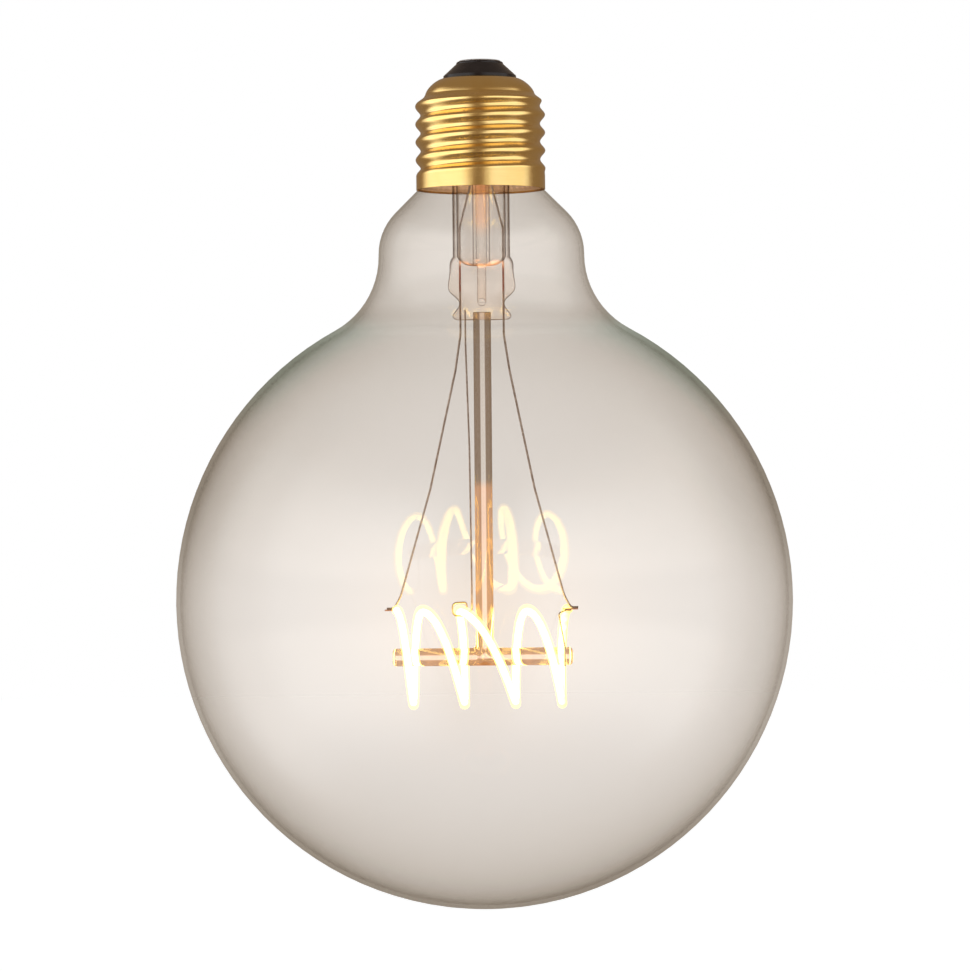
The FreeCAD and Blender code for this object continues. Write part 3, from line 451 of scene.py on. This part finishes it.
MATERIALS = {
    "centre_contact": metal(
        "tinned_contact", (0.72, 0.72, 0.73, 1.0), (0.5, 0.5, 0.52, 1.0), 0.35, 700.0
    ),
    "insulator": glossy_black(),
    "screw_shell": gold_cap(),
    "glass_envelope": outer_skin(),
    # The cement gets a painted glow: it emits light though it is no lamp
    "cap_cement": matt(
        "cap_cement", (0.9, 0.6, 0.36, 1.0), (0.8, 0.5, 0.3, 1.0), 0.85, 900.0, painted_glow_strength=0.28
    ),
    # Stem and tube get painted light: a warmer tint and an emission glow between the given heights
    "stem_glass": clear_glass(
        "stem_glass_pressed", unlit_height=-0.036, brightest_height=-0.05,
        painted_light_tint=(0.995, 0.965, 0.935, 1.0), painted_glow=0.018, straightness=0.92, glints=True,
    ),
    "tube_glass": clear_glass(
        "tube_glass_drawn", unlit_height=-0.037, brightest_height=-0.031,
        painted_light_tint=(1.0, 0.94, 0.9, 1.0), painted_glow=0.04, straightness=0.92,
    ),
    "led_filament": phosphor_coat(),
    "copper": metal(
        "copper_strip", (0.86, 0.45, 0.3, 1.0), (0.6, 0.26, 0.15, 1.0), 0.3, 1500.0
    ),
    "lead": metal("lead_wire", (0.5, 0.42, 0.36, 1.0), (0.25, 0.18, 0.14, 1.0), 0.34, 1100.0),
    "seal": metal("seal_wire", (0.5, 0.17, 0.09, 1.0), (0.22, 0.06, 0.04, 1.0), 0.4, 1300.0),
    "board": matt("driver_board", (0.8, 0.8, 0.76, 1.0), (0.7, 0.7, 0.66, 1.0), 0.45, 500.0),
    "chip": matt("moulded_package", (0.03, 0.03, 0.03, 1.0), (0.05, 0.05, 0.05, 1.0), 0.6, 1800.0),
    "sleeve": matt("capacitor_sleeve", (0.03, 0.03, 0.05, 1.0), (0.06, 0.06, 0.1, 1.0), 0.3, 300.0),
    "dip": matt("resistor_coat", (0.12, 0.3, 0.2, 1.0), (0.2, 0.42, 0.3, 1.0), 0.4, 700.0),
    "enamel": matt("wire_enamel", (0.6, 0.07, 0.05, 1.0), (0.42, 0.05, 0.04, 1.0), 0.35, 900.0),
}
WEARS = {
    "stem_flare": "stem_glass",
    "exhaust_tube": "tube_glass",
    "support_rod": "tube_glass",
    "cross_rod": "tube_glass",
    "filament_tab_left": "copper",
    "filament_tab_right": "copper",
    "outer_lead_left": "lead",
    "inner_lead_left": "lead",
    "outer_lead_right": "lead",
    "inner_lead_right": "lead",
    "filament_hook": "lead",
    "end_tie_wire": "lead",
    "seal_wire_left": "seal",
    "seal_wire_right": "seal",
    "driver_board": "board",
    "driver_chip": "chip",
    "rectifier": "chip",
    "smoothing_capacitor": "sleeve",
    "fuse_resistor": "dip",
    "live_wire": "enamel",
    "neutral_wire": "copper",
}

for name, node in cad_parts.items():
    node.data.materials.clear()
    node.data.materials.append(MATERIALS[WEARS.get(name, name)])


def coated_glass():
    """The envelope's own mesh again, with its inner skin left bare of the coat."""
    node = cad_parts["glass_envelope"]
    data = node.data.copy()
    data.name = "coated_glass"
    data.transform(node.matrix_world)
    data.materials.append(inner_skin())
    for face in data.polygons:
        outwards = face.center - GLOBE_MIDDLE
        if outwards.z > 0:
            outwards.z = 0.0
        face.material_index = 0 if outwards.dot(face.normal) > 0 else 1
    piece = bpy.data.objects.new("coated_glass", data)
    scene.collection.objects.link(piece)
    return piece


glass = coated_glass()
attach(glass, "root")
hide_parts("glass_envelope")


def coil_line():
    """Points along the filament, from its left end to its right end."""
    spots = []
    along = COIL_START
    for half, share in enumerate(COIL_ADVANCES):
        advance = share * COIL_LENGTH
        for step in range(STEPS_PER_HALF_TURN):
            part = step / STEPS_PER_HALF_TURN
            quarter = math.pi / 2 * part
            gain = math.sin(quarter) if half % 2 == 0 else (1 - math.cos(quarter)) ** 2
            turn = math.pi * (half + part)
            spots.append(
                Vector((
                    along + advance * gain,
                    -COIL_RADIUS * math.sin(turn),
                    BAR_HEIGHT + COIL_RADIUS * math.cos(turn),
                ))
            )
        along += advance
    return eased(spots)


def eased(spots):
    """The same line with its kinks at the tops and bottoms smoothed out."""
    for _ in range(30):
        inner = [
            (before + 2 * spot + after) / 4
            for before, spot, after in zip(spots, spots[1:], spots[2:])
        ]
        spots = [spots[0]] + inner + [spots[-1]]
    return spots


def tube(name, spots, radius, sides=12):
    """A closed round tube along a line of points."""
    mesh = bmesh.new()
    rings = []
    side = Vector((1.0, 0.0, 0.0))
    for index, spot in enumerate(spots):
        ahead = spots[min(index + 1, len(spots) - 1)] - spots[max(index - 1, 0)]
        ahead.normalize()
        side = (side - ahead * side.dot(ahead)).normalized()
        up = ahead.cross(side)
        rings.append([
            mesh.verts.new(
                spot + (side * math.cos(turn) + up * math.sin(turn)) * radius
            )
            for turn in (2 * math.pi * corner / sides for corner in range(sides))
        ])
    for low, high in zip(rings, rings[1:]):
        for corner in range(sides):
            after = (corner + 1) % sides
            mesh.faces.new((low[corner], low[after], high[after], high[corner]))
    mesh.faces.new(list(reversed(rings[0])))
    mesh.faces.new(rings[-1])
    bmesh.ops.recalc_face_normals(mesh, faces=mesh.faces)
    for face in mesh.faces:
        face.smooth = len(face.verts) == 4
    data = bpy.data.meshes.new(name)
    mesh.to_mesh(data)
    mesh.free()
    piece = bpy.data.objects.new(name, data)
    scene.collection.objects.link(piece)
    return piece


core = tube("filament_core", coil_line(), CORE_RADIUS)
core.data.materials.append(filament_core())
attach(core, "root")


def rounded_rod(along, across, half, radius, edge):
    """Distance to a rod with rounded rims, from a place along its axis and one across it."""
    over_end = abs(along) - half + edge
    over_side = across - radius + edge
    outside = math.hypot(max(over_end, 0.0), max(over_side, 0.0))
    return outside + min(max(over_end, over_side), 0.0) - edge


def tee_distance(spot):
    """Distance to the support rod and the cross bar, with a soft bead where they melted."""
    from_bar = spot - BAR_CENTRE
    bar = rounded_rod(
        from_bar.x, math.hypot(from_bar.y, from_bar.z), BAR_HALF, ROD_RADIUS, BAR_EDGE
    )
    half = (ROD_TOP - BAR_HEIGHT) / 2
    rod = rounded_rod(
        spot.z - BAR_HEIGHT - half, math.hypot(spot.x, spot.y), half, ROD_RADIUS, 0.00002
    )
    nearness = max(MELT - abs(rod - bar), 0.0) / MELT
    return min(rod, bar) - nearness * nearness * MELT / 4


def tee_slope(spot):
    step = 1e-6
    return Vector([
        tee_distance(spot + axis * step) - tee_distance(spot - axis * step)
        for axis in (Vector((1, 0, 0)), Vector((0, 1, 0)), Vector((0, 0, 1)))
    ]).normalized()


def block(mesh, low, high):
    """A plain box between two corners."""
    middle = (Vector(low) + Vector(high)) / 2
    size = Vector(high) - Vector(low)
    bmesh.ops.create_cube(
        mesh, size=1.0, matrix=Matrix.Translation(middle) @ Matrix.Diagonal(size.to_4d())
    )


def glass_tee():
    """Rod and bar as one piece of glass: fine even facets, drawn onto the melted shape."""
    mesh = bmesh.new()
    reach = BAR_CENTRE + Vector((BAR_HALF, ROD_RADIUS, ROD_RADIUS))
    back = BAR_CENTRE - Vector((BAR_HALF, ROD_RADIUS, ROD_RADIUS))
    block(mesh, back, reach)
    block(mesh, (-ROD_RADIUS, -ROD_RADIUS, BAR_HEIGHT), (ROD_RADIUS, ROD_RADIUS, ROD_TOP))
    data = bpy.data.meshes.new("glass_tee_blank")
    mesh.to_mesh(data)
    mesh.free()
    blank = bpy.data.objects.new("glass_tee_blank", data)
    scene.collection.objects.link(blank)
    remesh = blank.modifiers.new("even", "REMESH")
    remesh.mode = "VOXEL"
    remesh.voxel_size = TEE_GRAIN
    bpy.context.view_layer.update()
    evaluated = blank.evaluated_get(bpy.context.evaluated_depsgraph_get())
    data = bpy.data.meshes.new_from_object(evaluated)
    bpy.data.objects.remove(blank)
    for _ in range(4):
        for vertex in data.vertices:
            vertex.co -= tee_slope(vertex.co) * tee_distance(vertex.co)
    data.polygons.foreach_set("use_smooth", [True] * len(data.polygons))
    data.normals_split_custom_set_from_vertices([tee_slope(vertex.co) for vertex in data.vertices])
    data.name = "glass_tee"
    data.materials.clear()
    # The tee gets painted light too: an orange tint and an emission glow on its lower part, near
    # the coil
    data.materials.append(
        clear_glass(
            "rod_glass_melted", unlit_height=-0.0848, brightest_height=-0.0872,
            painted_light_tint=(1.0, 0.86, 0.76, 1.0), painted_glow=0.14,
        )
    )
    piece = bpy.data.objects.new("glass_tee", data)
    scene.collection.objects.link(piece)
    return piece


tee = glass_tee()
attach(tee, "root")
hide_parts("support_rod", "cross_rod")


def make_floor():
    """A pale floor well below the hanging lamp: white in view, plain where it takes light."""
    mesh = bmesh.new()
    bmesh.ops.create_circle(mesh, cap_ends=True, segments=96, radius=6.0)
    data = bpy.data.meshes.new("studio_floor")
    mesh.to_mesh(data)
    mesh.free()
    floor = bpy.data.objects.new("studio_floor", data)
    scene.collection.objects.link(floor)
    floor.location = (0.0, 0.0, -0.45)
    floor.visible_glossy = False
    floor.visible_transmission = False
    material, tree = blank_material("studio_floor")
    pale = add(tree, "ShaderNodeBsdfDiffuse", {"Color": (0.8, 0.8, 0.8, 1.0)}).outputs["BSDF"]
    in_view = add(tree, "ShaderNodeLightPath").outputs["Is Camera Ray"]
    white = glow_of(tree, (1.0, 1.0, 1.0, 1.0), times(tree, in_view, 0.53))
    close(tree, both(tree, pale, white))
    data.materials.append(material)


def towards(tree, bearing, way, edge, core):
    """How far a bearing lies inside a soft-edged sector about another bearing."""
    dot = add(
        tree, "ShaderNodeVectorMath", {0: bearing, 1: way}, operation="DOT_PRODUCT"
    ).outputs["Value"]
    return spread(tree, dot, edge, core, 0.0, 1.0, smooth=True)


def mirrored_studio(tree, climb, level):
    """Two tall soft boxes either side of the camera, in a dim room."""
    bearing = add(
        tree, "ShaderNodeVectorMath", {0: level}, operation="NORMALIZE"
    ).outputs["Vector"]
    left = towards(tree, bearing, (-0.94, -0.342, 0.0), 0.47, 0.85)
    right = towards(tree, bearing, (0.799, -0.602, 0.0), 0.59, 0.88)
    boxes = plus(tree, left, times(tree, right, 0.76))
    below_top = spread(tree, climb, 0.35, 0.75, 1.0, 0.0, smooth=True)
    above_foot = spread(tree, climb, -0.9, -0.5, 0.0, 1.0, smooth=True)
    off_level = spread(tree, maths(tree, "ABSOLUTE", climb), 0.08, 0.2, 1.1, 1.65, smooth=True)
    tall = times(tree, times(tree, below_top, above_foot), off_level)
    return plus(tree, times(tree, boxes, tall), 0.26)


def make_world():
    """White behind the lamp, soft boxes on both sides of the camera, and a dim studio between."""
    world = bpy.data.worlds.new("studio")
    world.use_nodes = True
    scene.world = world
    tree = world.node_tree
    tree.nodes.clear()
    direction = add(tree, "ShaderNodeTexCoord").outputs["Generated"]
    parts = add(tree, "ShaderNodeSeparateXYZ", {"Vector": direction}).outputs
    level = add(
        tree, "ShaderNodeCombineXYZ", {"X": parts["X"], "Y": parts["Y"]}
    ).outputs["Vector"]
    studio = mirrored_studio(tree, parts["Z"], level)
    sideways = maths(tree, "ABSOLUTE", parts["X"])
    endways = maths(tree, "ABSOLUTE", parts["Y"])
    squarely = maths(tree, "MAXIMUM", sideways, endways)
    straight = spread(tree, squarely, 0.968, 0.992, 0.0, 1.0, smooth=True)
    through = maths(tree, "MAXIMUM", straight, 0.34)
    rays = add(tree, "ShaderNodeLightPath").outputs
    mirrored = rays["Is Glossy Ray"]
    refracted = rays["Is Transmission Ray"]
    in_mirror = times(tree, maths(tree, "GREATER_THAN", mirrored, refracted), studio)
    seen = plus(tree, in_mirror, times(tree, refracted, through))
    other = maths(tree, "SUBTRACT", 1.0, maths(tree, "MAXIMUM", mirrored, refracted))
    unseen = times(tree, other, 0.6)
    strength = maths(tree, "MAXIMUM", rays["Is Camera Ray"], plus(tree, seen, unseen))
    plain = maths(tree, "MAXIMUM", spread(tree, strength, 0.3, 0.9, 0.0, 1.0), other)
    tone = blended(tree, plain, (1.0, 0.76, 0.56, 1.0), (1.0, 1.0, 1.0, 1.0))
    background = add(tree, "ShaderNodeBackground", {"Color": tone, "Strength": strength})
    add(tree, "ShaderNodeOutputWorld", {"Surface": background.outputs["Background"]})


def softbox(name, place, target, width, height, power):
    light = bpy.data.lights.new(name, "AREA")
    light.shape = "RECTANGLE"
    light.size = width
    light.size_y = height
    light.energy = power
    lamp = bpy.data.objects.new(name, light)
    scene.collection.objects.link(lamp)
    lamp.visible_glossy = False
    lamp.visible_transmission = False
    lamp.location = place
    lamp.rotation_euler = (Vector(target) - Vector(place)).to_track_quat("-Z", "Y").to_euler()


def make_camera():
    data = bpy.data.cameras.new("camera")
    data.sensor_width = SENSOR
    data.lens = FOCAL_PIXELS * SENSOR / PICTURE_SIDE
    data.clip_start = 0.01
    data.clip_end = 50.0
    camera = bpy.data.objects.new("camera", data)
    scene.collection.objects.link(camera)
    upright = Matrix.Rotation(math.radians(90.0), 4, "X")
    camera.matrix_world = (
        Matrix.Translation(CAMERA_PLACE) @ upright @ Matrix.Rotation(CAMERA_ROLL, 4, "Z")
    )
    scene.camera = camera


make_floor()
make_world()
softbox("left_softbox", (-0.95, -0.35, 0.1), (0.0, 0.0, -0.07), 0.8, 1.4, 6.0)
softbox("right_softbox", (0.85, -0.55, 0.1), (0.0, 0.0, -0.07), 0.8, 1.4, 6.0)
make_camera()
scene.view_settings.view_transform = "Standard"
# A straight look through globe, stem and exhaust tube crosses twelve glass surfaces
scene.cycles.transparent_max_bounces = 24
